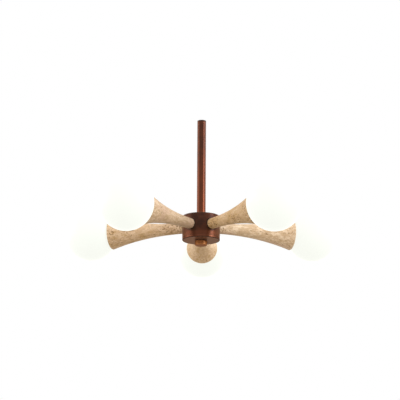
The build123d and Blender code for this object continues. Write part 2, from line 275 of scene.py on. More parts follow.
# Bronzed metal under satin lacquer
bronzes = {
    "stemBronze": {
        # painted light: the stem's colour is lighter low down, where the globes light it, and darker towards
        # the top
        "low": rgb(0.110, 0.021, 0.004), "high": rgb(0.052, 0.011, 0.003),
        "from": hubTop, "to": hubTop + 0.2,  # the heights between which low turns into high
        "edgeTint": rgb(0.55, 0.48, 0.43), "roughness": 0.27, "coat": 0.26, "sheen": 0.20,
        "lines": (700, 700, 12)},
    "hubBronze": {
        "low": rgb(0.092, 0.021, 0.006), "high": rgb(0.020, 0.003, 0.001),
        "from": armHeight - 0.022, "to": armHeight - 0.010,
        "edgeTint": rgb(0.74, 0.54, 0.42), "roughness": 0.37, "coat": 0.14, "sheen": 0.34,
        "lines": (4, 4, 520), "pocketShadeAndDarkEdges": True},
    "coverBronze": {
        "low": rgb(0.105, 0.030, 0.013), "high": rgb(0.105, 0.030, 0.013), "from": -1, "to": 0,
        "edgeTint": rgb(0.62, 0.48, 0.39), "roughness": 0.30, "coat": 0.12, "sheen": 0.20,
        "lines": (4, 4, 520), "pocketShadeAndDarkEdges": True},
    "finialBronze": {
        "low": rgb(0.33, 0.122, 0.038), "high": rgb(0.33, 0.122, 0.038), "from": -1, "to": 0,
        "edgeTint": rgb(0.38, 0.30, 0.24), "roughness": 0.43, "coat": 0.12, "sheen": 0.10,
        "lines": (4, 4, 600)},
    # painted shade: the washer is near black, for the dark shadow band between the cover and the finial
    "washerPaintedShade": {
        "low": rgb(0.012, 0.004, 0.002), "high": rgb(0.012, 0.004, 0.002), "from": -1, "to": 0,
        "edgeTint": rgb(0.20, 0.16, 0.13), "roughness": 0.50, "coat": 0.05, "sheen": 0.05,
        "lines": (4, 4, 600)},
}
lacquer = {
    "patinaScale": 60,
    "patinaLevels": (0.35, 0.70),  # of the pattern, where it begins and where it is full
    "patinaShare": 0.35,
    "patinaWarmth": 1.5,
    "lineLevels": (0.35, 0.65),
    "lineShare": 0.30,
    "lineDepth": 0.4,
    "lineRoughness": 0.12,
    "sheenRoughness": 0.6,
    "sheenTint": rgb(1.0, 0.58, 0.38),
    "coatRoughness": 0.2,
    "bump": 0.02 * mm,
}
# Painted shade on the hub and its cover: a dark ring round each horn's pocket, where the gap shades the wall,
# darkening both colour and reflections; with it, darker bands along the hub's top edge, round the foot's
# outer edge and at the seam
pocketShadeAndDarkEdgeSizes = {
    "pocketShadeFrom": 13.2 * mm,  # round each horn, measured from the arm's axis
    "pocketShadeTo": 15.6 * mm,
    "edgeWidth": 1.6 * mm,
    "top": (1.6, 0.3),  # in edge widths, below the hub's top
    "foot": (0.3, 1.3),  # above its bottom
    "rim": (1.8, 0.6),  # and inwards from its side
    "seamFrom": 0.2 * mm,
    "seamTo": 0.7 * mm,
    "seamShare": 0.7,
    "depth": 0.80,
    "colour": rgb(0.010, 0.004, 0.002),
    "edgeTint": rgb(0.30, 0.27, 0.25),
}


def distance(tree, first, second):
    squares = calc(tree, "ADD", calc(tree, "POWER", first, 2), calc(tree, "POWER", second, 2))
    return calc(tree, "SQRT", squares)


def pocketShadeAndDarkEdgeShare(tree, sizes):
    axes = split(tree, addNode(tree, "ShaderNodeTexCoord").outputs["Object"])
    radius = distance(tree, axes[0], axes[1])
    # the turn from the nearest arm, and with it the distance from that arm's axis
    step = 2 * math.pi / len(armAngles)
    angle = calc(tree, "SUBTRACT", calc(tree, "ARCTAN2", axes[1], axes[0]), math.pi / 2)
    folded = calc(tree, "WRAP", angle, step / 2, -step / 2)
    aside = calc(tree, "MULTIPLY", radius, calc(tree, "SINE", folded))
    away = distance(tree, aside, calc(tree, "SUBTRACT", axes[2], armHeight))
    ring = spread(tree, away, sizes["pocketShadeFrom"], sizes["pocketShadeTo"], 1, 0)
    width = sizes["edgeWidth"]
    topEdge = spread(tree, axes[2], *[hubTop - share * width for share in sizes["top"]])
    foot = spread(tree, axes[2], *[hubBottom + share * width for share in sizes["foot"]], 1, 0)
    rim = spread(tree, radius, *[hubRadius - share * width for share in sizes["rim"]])
    footEdge = calc(tree, "MULTIPLY", foot, rim)
    fromSeam = calc(tree, "ABSOLUTE", calc(tree, "SUBTRACT", axes[2], seamHeight))
    seam = spread(tree, fromSeam, sizes["seamFrom"], sizes["seamTo"], sizes["seamShare"], 0)
    # the painted shade round the pockets, joined with the darker edges and the seam
    dark = ring
    for edge in (topEdge, footEdge, seam):
        dark = calc(tree, "MAXIMUM", dark, edge)
    return calc(tree, "MULTIPLY", dark, sizes["depth"])


def makeBronze(name, sizes):
    material, tree, shader = newMaterial(name)
    place = patternPlace(tree)
    lines = noise(tree, patternPlace(tree, 0, sizes["lines"]), 1.0, 3, 0.6)
    patina = noise(tree, place, lacquer["patinaScale"], 5, 0.6)
    height = spread(tree, split(tree, place)[2], sizes["from"], sizes["to"])
    colour = blendColours(tree, height, sizes["low"], sizes["high"])
    warmed = calc(tree, "MULTIPLY", spread(tree, patina, *lacquer["patinaLevels"]), lacquer["patinaShare"])
    colour = blendColours(tree, warmed, colour, scaled(sizes["low"], lacquer["patinaWarmth"]))
    lined = spread(tree, lines, *lacquer["lineLevels"], lacquer["lineShare"], 0)
    colour = blendColours(tree, lined, colour, scaled(sizes["high"], lacquer["lineDepth"]))
    edgeTint = sizes["edgeTint"]
    # painted shade round the pockets, with the darker edges and seam, darkens the colour and the reflections
    if "pocketShadeAndDarkEdges" in sizes:
        pocketShadeAndDarkEdges = pocketShadeAndDarkEdgeShare(tree, pocketShadeAndDarkEdgeSizes)
        colour = blendColours(tree, pocketShadeAndDarkEdges, colour, pocketShadeAndDarkEdgeSizes["colour"])
        edgeTint = blendColours(tree, pocketShadeAndDarkEdges, edgeTint, pocketShadeAndDarkEdgeSizes["edgeTint"])
    least = sizes["roughness"] - lacquer["lineRoughness"] / 2
    dress(tree, shader, {
        "Base Color": colour, "Specular Tint": edgeTint, "Metallic": 1.0,
        "Roughness": calc(tree, "MULTIPLY_ADD", lines, lacquer["lineRoughness"], least),
        "Sheen Weight": sizes["sheen"], "Sheen Roughness": lacquer["sheenRoughness"],
        "Sheen Tint": lacquer["sheenTint"], "Coat Weight": sizes["coat"],
        "Coat Roughness": lacquer["coatRoughness"]})
    addBump(tree, shader, lines, lacquer["bump"])
    return material


# Opal glass, lit from inside
opal = {
    "colour": rgb(0.15, 0.15, 0.14),
    "glow": rgb(0.975, 1.0, 0.94),
    "strength": 0.855,
    "cloudScale": 30,
    "cloudDepth": 0.96,
    "roughness": 0.35,
    "gloss": 0.15,
}


def makeOpal(name, sizes):
    material, tree, shader = newMaterial(name)
    cloud = noise(tree, patternPlace(tree), sizes["cloudScale"], 3)
    colour = blendColours(tree, cloud, scaled(sizes["colour"], sizes["cloudDepth"]), sizes["colour"])
    dress(tree, shader, {
        "Base Color": colour, "Emission Color": sizes["glow"], "Emission Strength": sizes["strength"],
        "Roughness": sizes["roughness"], "Specular IOR Level": sizes["gloss"]})
    return material


# Plain finishes of the small hardware, each with its own grain
grainRoughness = 0.2  # how far the grain spreads the roughness
finishes = {
    "zinc_steel": {
        "colour": (0.58, 0.58, 0.60), "metal": 1.0, "rough": 0.38,
        "grain": 300, "shift": 0.12, "bump": 0.01 * mm},
    "brass": {
        "colour": (0.62, 0.43, 0.16), "metal": 1.0, "rough": 0.3,
        "grain": 250, "shift": 0.15, "bump": 0.01 * mm},
    "aluminium": {
        "colour": (0.74, 0.74, 0.75), "metal": 1.0, "rough": 0.35,
        "grain": 260, "shift": 0.08, "bump": 0.01 * mm},
    "black_rubber": {
        "colour": (0.022, 0.020, 0.019), "metal": 0.0, "rough": 0.7,
        "grain": 500, "shift": 0.3, "bump": 0.03 * mm},
    "clear_silicone": {
        "colour": (0.62, 0.62, 0.60), "metal": 0.0, "rough": 0.45,
        "grain": 200, "shift": 0.08, "bump": 0.02 * mm},
    "white_ceramic": {
        "colour": (0.72, 0.70, 0.65), "metal": 0.0, "rough": 0.55,
        "grain": 400, "shift": 0.1, "bump": 0.03 * mm},
    "lamp_envelope": {
        "colour": (0.85, 0.82, 0.74), "metal": 0.0, "rough": 0.3,
        "grain": 200, "shift": 0.05, "bump": 0.01 * mm, "glow": (1.0, 0.85, 0.62), "strength": 1.5},
    "white_flex": {
        "colour": (0.72, 0.72, 0.70), "metal": 0.0, "rough": 0.45,
        "grain": 350, "shift": 0.07, "bump": 0.02 * mm},
    "silicone_cores": {
        "colour": (0.60, 0.56, 0.49), "metal": 0.0, "rough": 0.5,
        "grain": 350, "shift": 0.1, "bump": 0.02 * mm},
    "earth_insulation": {
        "colour": (0.10, 0.30, 0.05), "metal": 0.0, "rough": 0.45,
        "grain": 350, "shift": 0.1, "bump": 0.02 * mm},
}


def makeFinish(name, sizes):
    material, tree, shader = newMaterial(name)
    grain = noise(tree, patternPlace(tree), sizes["grain"], 4, 0.6)
    dark, light = (scaled(sizes["colour"], 1 + shift) for shift in (-sizes["shift"], sizes["shift"]))
    least = sizes["rough"] - grainRoughness / 2
    dress(tree, shader, {
        "Base Color": blendColours(tree, grain, dark, light), "Metallic": sizes["metal"],
        "Roughness": calc(tree, "MULTIPLY_ADD", grain, grainRoughness, least)})
    if "glow" in sizes:
        dress(tree, shader, {"Emission Color": rgb(*sizes["glow"]), "Emission Strength": sizes["strength"]})
    addBump(tree, shader, grain, sizes["bump"])
    return material


materials = {name: makeFinish(name, sizes) for name, sizes in finishes.items()}
materials.update({name: makeBronze(name, sizes) for name, sizes in bronzes.items()})
materials["opal"] = makeOpal("opal", opal)
# the washer's near-black colour is painted shade above the finial
materials["dark_bronze"] = materials["washerPaintedShade"]  # only the washer of this slot keeps its CAD mesh
print("materials made:", len(materials))


# Turned shapes: a profile of (radius, height) points spun round Z
def rounded(middle, radius, first, swing, steps):
    turns = [first + swing * step / steps for step in range(steps + 1)]
    return [middle + Vector((math.cos(turn), math.sin(turn))) * radius for turn in turns]


# each rounding has a further point on either side, lead times its reach from the corner
def softened(corners, steps=5, lead=1.25):
    points = []
    for index, (radius, height, rounding) in enumerate(corners):
        here = Vector((radius, height))
        if not rounding:
            points.append(here)
            continue
        before = Vector(corners[index - 1][:2]) - here
        after = Vector(corners[(index + 1) % len(corners)][:2]) - here
        halfTurn = before.angle(after) / 2
        before.normalize()
        after.normalize()
        reach = rounding / math.tan(halfTurn)
        middle = here + (before + after).normalized() * rounding / math.sin(halfTurn)
        first, last = (math.atan2(*(here + side * reach - middle).yx) for side in (before, after))
        swing = (last - first + math.pi) % (2 * math.pi) - math.pi
        points.append(here + before * reach * lead)
        points += rounded(middle, rounding, first, swing, steps)
        points.append(here + after * reach * lead)
    return points


def arc(middle, radius, start, end, steps):
    turns = [start + (end - start) * step / steps for step in range(steps + 1)]
    return [Vector((radius * math.sin(turn), middle - radius * math.cos(turn))) for turn in turns]


def turnedMesh(name, profile, sides, closed=True):
    made = bmesh.new()
    rings = []
    for radius, height in profile:
        count = 1 if radius < 1e-7 else sides  # a point on the axis stands alone
        turns = [2 * math.pi * side / sides for side in range(count)]
        places = [(radius * math.cos(turn), radius * math.sin(turn), height) for turn in turns]
        rings.append([made.verts.new(place) for place in places])
    pairs = list(zip(rings, rings[1:])) + ([(rings[-1], rings[0])] if closed else [])
    for low, high in pairs:
        for side in range(sides):
            after = (side + 1) % sides
            corners = ((low, side), (low, after), (high, after), (high, side))
            made.faces.new(list(dict.fromkeys(ring[place % len(ring)] for ring, place in corners)))
    bmesh.ops.recalc_face_normals(made, faces=made.faces)
    mesh = bpy.data.meshes.new(name)
    made.to_mesh(mesh)
    made.free()
    return mesh


def smoothen(mesh, sharpAngle=35):
    mesh.polygons.foreach_set("use_smooth", [True] * len(mesh.polygons))
    mesh.set_sharp_from_angle(angle=math.radians(sharpAngle))


def addPiece(name, mesh, material):
    piece = bpy.data.objects.new(name, mesh)
    bpy.context.scene.collection.objects.link(piece)
    mesh.materials.append(material)
    smoothen(mesh)
    return piece


def onArm(angle):
    return (Matrix.Translation((0, 0, armHeight)) @ Matrix.Rotation(math.radians(angle), 4, "Z")
            @ Matrix.Rotation(math.pi / 2, 4, "Y"))


def standFor(piece, node, body):
    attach(piece, body)
    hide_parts(node)


# Geometry Nodes helpers
def newTree(name, inputs):
    tree = bpy.data.node_groups.new(name, "GeometryNodeTree")
    tree.interface.new_socket("Geometry", in_out="INPUT", socket_type="NodeSocketGeometry")
    tree.interface.new_socket("Geometry", in_out="OUTPUT", socket_type="NodeSocketGeometry")
    for label, kind in inputs.items():
        tree.interface.new_socket(label, in_out="INPUT", socket_type="NodeSocket" + kind)
    return tree, addNode(tree, "NodeGroupInput").outputs, addNode(tree, "NodeGroupOutput")


def endTree(tree, geometry, material, output):
    solid = addNode(tree, "GeometryNodeRealizeInstances", {"Geometry": geometry}).outputs[0]
    painted = addNode(tree, "GeometryNodeSetMaterial", {"Geometry": solid, "Material": material}).outputs[0]
    tree.links.new(painted, output.inputs[0])


def midway(tree, low, high):
    return calc(tree, "MULTIPLY", calc(tree, "ADD", low, high), 0.5)


def rodIn(tree, radius, low, high, sides):
    depth = calc(tree, "SUBTRACT", high, low)
    solid = addNode(tree, "GeometryNodeMeshCylinder", {"Vertices": sides, "Radius": radius, "Depth": depth})
    return moveIn(tree, solid.outputs["Mesh"], combine(tree, z=midway(tree, low, high)))


def moveIn(tree, geometry, shift, turn=(0, 0, 0)):
    return addNode(tree, "GeometryNodeTransform", {
        "Geometry": geometry, "Translation": shift, "Rotation": turn}).outputs[0]


def joinIn(tree, *parts):
    joined = addNode(tree, "GeometryNodeJoinGeometry")
    for part in parts:
        tree.links.new(part, joined.inputs[0])
    return joined.outputs[0]


def ringOf(tree, part, count, firstTurn):
    points = addNode(tree, "GeometryNodePoints", {"Count": count}).outputs[0]
    number = addNode(tree, "GeometryNodeInputIndex").outputs[0]
    turn = calc(tree, "MULTIPLY_ADD", number, calc(tree, "DIVIDE", 2 * math.pi, count), firstTurn)
    placed = addNode(tree, "GeometryNodeInstanceOnPoints", {
        "Points": points, "Instance": part, "Rotation": combine(tree, z=turn)}).outputs[0]
    return addNode(tree, "GeometryNodeRealizeInstances", {"Geometry": placed}).outputs[0]


def booleanIn(tree, operation, first, second):
    made = addNode(tree, "GeometryNodeMeshBoolean", operation=operation)
    made.solver = "EXACT"
    made.inputs["Self Intersection"].default_value = True
    tree.links.new(first, made.inputs[0 if operation == "DIFFERENCE" else 1])
    tree.links.new(second, made.inputs[1])
    return made.outputs[0]


def grow(piece, tree, values):
    modifier = piece.modifiers.new(tree.name, "NODES")
    modifier.node_group = tree
    for socket in tree.interface.items_tree:
        if socket.item_type == "SOCKET" and socket.in_out == "INPUT" and socket.name in values:
            modifier[socket.identifier] = values[socket.name]
    depsgraph = bpy.context.evaluated_depsgraph_get()
    mesh = bpy.data.meshes.new_from_object(piece.evaluated_get(depsgraph), depsgraph=depsgraph)
    piece.modifiers.clear()
    piece.data = mesh
    mesh.name = piece.name


# Stone horns
horn = {
    "rootRadius": 12.2 * mm,
    "rimRadius": 37.0 * mm,
    "flare": 2.2,
    "rootRound": 0.6 * mm,
    "rimRound": 1.0 * mm,
    "lipRound": 0.5 * mm,
    "dishRadius": 60.8 * mm,
    "recessRadius": 18.5 * mm,
    "boreRadius": 5.5 * mm,
    "washer": 1.5 * mm,
    "lipDrop": 0.35,  # how far the lip's last point lies down in the dish, in lip roundings
    "rimSteps": 6,
    "dishSteps": 14,
    "rootSteps": 4,
    "rows": 300,
    "sides": 300,
    "sharpAngle": 50,
    "seedStep": (0.37, 0.21, 0.0),  # the shift of the patterns from horn to horn
    "unevenness": 0.25 * mm,
    "pitDepth": 0.8 * mm,
    "rootPits": {"back": 0.5, "left": 1.0, "front_left": 0.2, "front_right": 1.0, "right": 0.9},
}
pits = {
    "weld": 0.02 * mm,  # joins the outer skin to the inside
    "alongBeds": (1, 1, 0.6),  # drawn out along the arm
    "waveScale": 32,
    "clusterScale": 55,
    "clusterLevels": (0.42, 0.62),
    "clusterLeast": 0.25,
    "pitScale": 430,
    "pitFrom": 0.66,  # the level of the pattern where a pit begins
    "pitSpan": 0.08,
    "rootLowers": 0.09,  # how far that level comes down near the root
    "rootFrom": 0.012,  # from the horn's root
    "rootTo": 0.060,
}
globeRadius = 60 * mm
hornRoot, hornRim, armReach = hornBox[0].y, hornBox[1].y, globeBox[1].y - globeRadius
hornFloor = carrierBox[0].y - horn["washer"]


def hornRadius(sizes, share):
    return sizes["rootRadius"] + (sizes["rimRadius"] - sizes["rootRadius"]) * share ** sizes["flare"]


def hornInside(sizes):
    length, dishRadius = hornRim - hornRoot, sizes["dishRadius"]
    lean = math.atan((sizes["rimRadius"] - sizes["rootRadius"]) * sizes["flare"] / length)
    setBack = sizes["rimRound"] / math.tan((math.pi / 2 - lean) / 2) * math.cos(lean)
    shareStart, shareEnd = sizes["rootRound"] / length, 1 - setBack / length
    middle = Vector((hornRadius(sizes, shareEnd), hornRim - setBack))
    middle += Vector((-math.cos(lean), math.sin(lean))) * sizes["rimRound"]
    profile = rounded(middle, sizes["rimRound"], -lean, math.pi / 2 + lean, sizes["rimSteps"])
    dishEdge = math.asin(math.sqrt(dishRadius ** 2 - (armReach - hornRim) ** 2) / dishRadius)
    recessEdge = math.asin(sizes["recessRadius"] / dishRadius)
    lip, *dish = arc(armReach, dishRadius, dishEdge, recessEdge, sizes["dishSteps"])
    for shift in ((2, 0), (1, 0), (0, -sizes["lipDrop"])):
        profile.append(lip + Vector([sizes["lipRound"] * share for share in shift]))
    profile += dish
    profile += [Vector((sizes["recessRadius"], hornFloor)), Vector((sizes["boreRadius"], hornFloor)),
                Vector((sizes["boreRadius"], hornRoot))]
    rootRound = sizes["rootRound"]
    middle = Vector((hornRadius(sizes, shareStart) - rootRound, hornRoot + rootRound))
    profile += rounded(middle, rootRound, -math.pi / 2, math.pi / 2, sizes["rootSteps"])
    return profile, shareStart, shareEnd


def hornTree(sizes):
    tree, given, output = newTree("stoneHorn", {
        "Rows": "Int", "Sides": "Int",
        "Root radius": "Float", "Rim radius": "Float", "Flare": "Float",
        "Root place": "Float", "Rim place": "Float", "Start": "Float", "End": "Float", "Seed": "Vector",
        "Unevenness": "Float", "Pit depth": "Float", "Root pits": "Float", "Material": "Material"})
    grid = addNode(tree, "GeometryNodeMeshGrid", {
        "Size X": 1.0, "Size Y": 1.0, "Vertices X": given["Rows"], "Vertices Y": given["Sides"]})
    place = addNode(tree, "GeometryNodeInputPosition").outputs[0]
    across = split(tree, place)
    share = spreadLinear(tree, across[0], -0.5, 0.5, given["Start"], given["End"])
    turn = calc(tree, "MULTIPLY", calc(tree, "ADD", across[1], 0.5), 2 * math.pi)
    widening = calc(tree, "SUBTRACT", given["Rim radius"], given["Root radius"])
    flared = calc(tree, "POWER", share, given["Flare"])
    radius = calc(tree, "MULTIPLY_ADD", widening, flared, given["Root radius"])
    length = calc(tree, "SUBTRACT", given["Rim place"], given["Root place"])
    height = calc(tree, "MULTIPLY_ADD", length, share, given["Root place"])
    aside, ahead = (calc(tree, "MULTIPLY", radius, calc(tree, wave, turn)) for wave in ("COSINE", "SINE"))
    flank = combine(tree, aside, ahead, height)
    skin = addNode(tree, "GeometryNodeSetPosition", {
        "Geometry": grid.outputs[0], "Position": flank}).outputs[0]
    skin = addNode(tree, "GeometryNodeFlipFaces", {"Mesh": skin}).outputs[0]
    skin = addNode(tree, "GeometryNodeStoreNamedAttribute", {
        "Geometry": skin, "Name": "skin", "Value": 1.0}, data_type="FLOAT", domain="POINT").outputs[0]
    whole = addNode(tree, "GeometryNodeMergeByDistance", {
        "Geometry": joinIn(tree, given["Geometry"], skin), "Distance": sizes["weld"]}).outputs[0]
    # the pits are cut along the surface's own normal, in clusters, and only in the outer skin
    seeded = addNode(tree, "ShaderNodeVectorMath", {0: place, 1: given["Seed"]}).outputs[0]
    bedded = addNode(tree, "ShaderNodeVectorMath", {
        0: seeded, 1: sizes["alongBeds"]}, operation="MULTIPLY").outputs[0]
    wave = noise(tree, seeded, sizes["waveScale"], 1)
    fadeFrom, fadeTo = (calc(tree, "ADD", given["Root place"], sizes[end]) for end in ("rootFrom", "rootTo"))
    nearRoot = spread(tree, across[2], fadeFrom, fadeTo, 1, 0)
    more = calc(tree, "MULTIPLY", nearRoot, given["Root pits"])
    fewest = calc(tree, "MULTIPLY_ADD", more, -sizes["rootLowers"], sizes["pitFrom"])
    cluster = noise(tree, bedded, sizes["clusterScale"], 2)
    cluster = spread(tree, cluster, *sizes["clusterLevels"], sizes["clusterLeast"], 1.0)
    cluster = calc(tree, "MAXIMUM", cluster, more)
    holes = noise(tree, bedded, sizes["pitScale"], 1.5, 0.4)
    holes = spread(tree, holes, fewest, calc(tree, "ADD", fewest, sizes["pitSpan"]))
    onSkin = addNode(tree, "GeometryNodeInputNamedAttribute", {"Name": "skin"}, data_type="FLOAT").outputs[0]
    pit = calc(tree, "MULTIPLY", calc(tree, "MULTIPLY", holes, cluster), onSkin)
    whole = addNode(tree, "GeometryNodeStoreNamedAttribute", {
        "Geometry": whole, "Name": "pit", "Value": pit}, data_type="FLOAT", domain="POINT").outputs[0]
    pitSaved = addNode(tree, "GeometryNodeInputNamedAttribute", {"Name": "pit"}, data_type="FLOAT").outputs[0]
    uneven = calc(tree, "MULTIPLY", wave, given["Unevenness"])
    sink = calc(tree, "MULTIPLY_ADD", pitSaved, given["Pit depth"], uneven)
    normal = addNode(tree, "GeometryNodeInputNormal").outputs[0]
    offset = addNode(tree, "ShaderNodeVectorMath", {0: normal, "Scale": calc(tree, "MULTIPLY", sink, -1.0)},
                     operation="SCALE").outputs[0]
    whole = addNode(tree, "GeometryNodeSetPosition", {"Geometry": whole, "Offset": offset}).outputs[0]
    endTree(tree, whole, given["Material"], output)
    return tree


def makeHorns(sizes):
    tree = hornTree(pits)
    inside, shareStart, shareEnd = hornInside(sizes)
    for number, (arm, angle) in enumerate(armAngles.items()):
        material = makeStone(f"travertine_{arm}", math.radians(angle), stone, hornLooks[arm])
        mesh = turnedMesh(f"stone_{arm}", inside, sizes["sides"] - 1, closed=False)
        piece = addPiece(f"stone_{arm}", mesh, material)
        grow(piece, tree, {
            "Rows": sizes["rows"], "Sides": sizes["sides"], "Root radius": sizes["rootRadius"],
            "Rim radius": sizes["rimRadius"], "Flare": sizes["flare"], "Root place": hornRoot,
            "Rim place": hornRim, "Start": shareStart, "End": shareEnd,
            "Seed": tuple(number * step for step in sizes["seedStep"]), "Unevenness": sizes["unevenness"],
            "Pit depth": sizes["pitDepth"], "Root pits": sizes["rootPits"][arm], "Material": material})
        piece.data.transform(onArm(angle))
        smoothen(piece.data, sizes["sharpAngle"])
        standFor(piece, f"horn_{arm}", "fixture")
        print("horn", arm, len(piece.data.polygons), "faces")


makeHorns(horn)


# Opal globes
globe = {
    "radius": globeRadius,
    "wall": 2.5 * mm,
    "neckRadius": 15.5 * mm,
    "mouthRound": 0.8 * mm,
    "shoulderTurn": 0.02,  # the ball stops this far round from the neck, in radians
    "shoulderDrop": 0.8 * mm,
    "rings": 90,
    "sides": 160,
}


def globeProfile(sizes):
    outer, inner = sizes["radius"], sizes["radius"] - sizes["wall"]
    neckOut, neckIn = sizes["neckRadius"], sizes["neckRadius"] - sizes["wall"]
    neckEnd, mouth = globeBox[0].y, sizes["mouthRound"]
    shoulder = math.asin(neckOut / outer)
    outside = arc(armReach, outer, math.pi, shoulder + sizes["shoulderTurn"], sizes["rings"])
    outside.append(Vector((neckOut, armReach - outer * math.cos(shoulder) - sizes["shoulderDrop"])))
    neck = softened([(neckOut, armReach, 0), (neckOut, neckEnd, mouth), (neckIn, neckEnd, mouth),
                     (neckIn, armReach, 0)], 4)[1:-1]
    inside = arc(armReach, inner, math.asin(neckIn / inner), math.pi, sizes["rings"] // 2)
    outside[0].x = inside[-1].x = 0
    return outside + neck + inside


def makeGlobes(sizes):
    for arm, angle in armAngles.items():
        mesh = turnedMesh(f"opal_{arm}", globeProfile(sizes), sizes["sides"], closed=False)
        mesh.transform(onArm(angle))
        piece = addPiece(f"opal_{arm}", mesh, materials["opal"])
        standFor(piece, f"globe_{arm}", f"globe_{arm}")


makeGlobes(globe)
print("globes made")


# Stem and its threaded collar
stem = {
    "radius": 10.0 * mm,
    "wall": 1.5 * mm,
    "edge": 0.25 * mm,
    "plugRadius": 8.45 * mm,
    "plugLength": 12.0 * mm,
    "boreRadius": 5.05 * mm,
    "boreEdge": 0.5 * mm,
    "pitch": 1.0 * mm,
    "threadDepth": 0.36 * mm,
    "threadSteps": 48,  # for each turn
    "sides": 128,
}


def threadTree():
    tree, given, output = newTree("lampThread", {
        "Turns": "Float", "Steps": "Int", "Radius": "Float", "Low": "Float", "Length": "Float",
        "Depth": "Float", "Material": "Material"})
    spiral = addNode(tree, "GeometryNodeCurveSpiral", {
        "Resolution": given["Steps"], "Rotations": given["Turns"], "Start Radius": given["Radius"],
        "End Radius": given["Radius"], "Height": given["Length"]}).outputs[0]
    # a circle of four points gives the ridge its sharp edge
    ridge = addNode(tree, "GeometryNodeCurvePrimitiveCircle", {"Resolution": 4, "Radius": given["Depth"]})
    thread = addNode(tree, "GeometryNodeCurveToMesh", {
        "Curve": spiral, "Profile Curve": ridge.outputs[0], "Fill Caps": True}).outputs[0]
    thread = moveIn(tree, thread, combine(tree, z=given["Low"]))
    endTree(tree, joinIn(tree, given["Geometry"], thread), given["Material"], output)
    return tree


def makeStem(sizes):
    outer, inner, edge = sizes["radius"], sizes["radius"] - sizes["wall"], sizes["edge"]
    low, high = stemBox[0].z, stemBox[1].z
    tube = softened([(inner, low, edge), (outer, low, edge), (outer, high, edge), (inner, high, edge)])
    piece = addPiece("stemTube", turnedMesh("stemTube", tube, sizes["sides"]), materials["stemBronze"])
    standFor(piece, "stem_tube", "fixture")
    top, plug, bore, pitch = collarBox[1].z, sizes["plugRadius"], sizes["boreRadius"], sizes["pitch"]
    foot = high - sizes["plugLength"]
    collar = softened([
        (bore, foot, edge), (plug, foot, edge), (plug, high, 0), (outer, high, edge), (outer, top, 2 * edge),
        (bore, top, sizes["boreEdge"])])
    piece = addPiece("stemCollar", turnedMesh("stemCollar", collar, sizes["sides"]), materials["hubBronze"])
    length = top - high + sizes["plugLength"] - 2 * pitch
    grow(piece, threadTree(), {
        "Turns": length / pitch, "Steps": sizes["threadSteps"], "Radius": bore, "Low": foot + pitch,
        "Length": length, "Depth": sizes["threadDepth"], "Material": materials["hubBronze"]})
    smoothen(piece.data)
    standFor(piece, "stem_top_collar", "fixture")


makeStem(stem)


# Hub, its base cover and the finial
hub = {
    "radius": 42.5 * mm,
    "wall": 7.0 * mm,
    "roof": 5.0 * mm,
    "topRound": 1.5 * mm,
    "seamRound": 0.35 * mm,
    "holeRadius": 5.25 * mm,
    "pocketRadius": 12.6 * mm,
    "pocketFloor": 39.5 * mm,
    "flatRadius": 9.4 * mm,
    "flatDepth": 0.1 * mm,
    "lugStart": 22.5 * mm,
    "lugWidth": 10.0 * mm,
    "lugLift": 12.5 * mm,
    "lugHeight": 7.5 * mm,
    "screwPlace": 27.0 * mm,
    "screwRadius": 2.05 * mm,
    "screwDepth": 6.5 * mm,
    "earthPlace": 24.0 * mm,
    "earthTurn": 54,
    "earthDepth": 3.55 * mm,
    "edge": 0.3 * mm,
    "sides": 256,
    "pocketSides": 96,
    "holeSides": 64,
    "screwSides": 32,
    "lead": 5 * mm,  # how far the arm's cutters stand clear of the wall
    "screwLead": 1 * mm,
}
cover = {
    "spigotRadius": 35.3 * mm,
    "spigotWall": 2.2 * mm,
    "spigotHeight": 3.0 * mm,
    "bottomRound": 1.5 * mm,
    "sides": 256,
}
finial = {
    "radius": 13.8 * mm,
    "boreRadius": 5.05 * mm,
    "boreDepth": 8.0 * mm,
    "topRound": 0.35 * mm,
    "bottomChamfer": 1.4 * mm,
    "chamferRound": 0.5 * mm,
    "sides": 160,
}


def screwIn(tree, given, base, depth, place):
    low, high = calc(tree, "SUBTRACT", base, given["Screw lead"]), calc(tree, "ADD", base, depth)
    rod = rodIn(tree, given["Screw radius"], low, high, given["Screw sides"])
    return moveIn(tree, rod, combine(tree, place))


